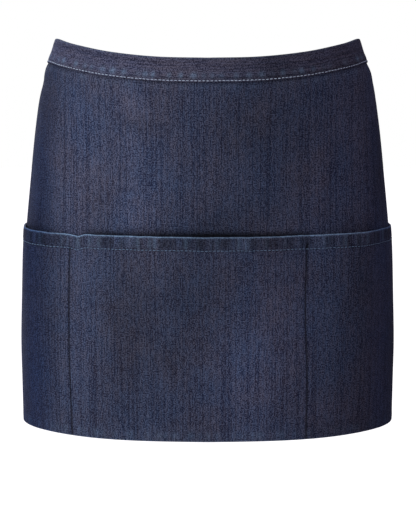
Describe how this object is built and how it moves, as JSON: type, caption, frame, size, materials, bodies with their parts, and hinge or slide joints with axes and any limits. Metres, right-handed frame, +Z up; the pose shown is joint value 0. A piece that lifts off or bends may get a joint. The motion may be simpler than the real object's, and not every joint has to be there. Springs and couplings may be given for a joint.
{
  "type": "waist apron",
  "caption": "Short denim waist apron, kept in its worn shape: a folded waistband, a body panel, a wide pocket panel split by two seams, and flat ties knotted behind.",
  "frame": {"origin": "middle of the wearer's waist, where the waistband holds on, level with the middle of the waistband at the centre front", "axes": "+Z up along the wearer, -Y out of the apron's front, +X to the right of someone who looks at the front"},
  "size_m": [0.3459, 0.2127, 0.3599],
  "materials": {
    "body_denim": "dark indigo denim with pale slubs, matt",
    "band_denim": "dark indigo denim with its warp running along the band, matt",
    "pocket_denim": "dark indigo denim with worn pale edges, matt",
    "tie_denim": "dark indigo denim, matt"
  },
  "bodies": {
    "root": {"body_panel": "body_denim", "waistband": "band_denim", "pocket_panel": "pocket_denim", "tie_left": "tie_denim", "tie_right": "tie_denim", "tie_knot": "tie_denim", "tie_end_left": "tie_denim", "tie_end_right": "tie_denim"}
  },
  "joints": []
}
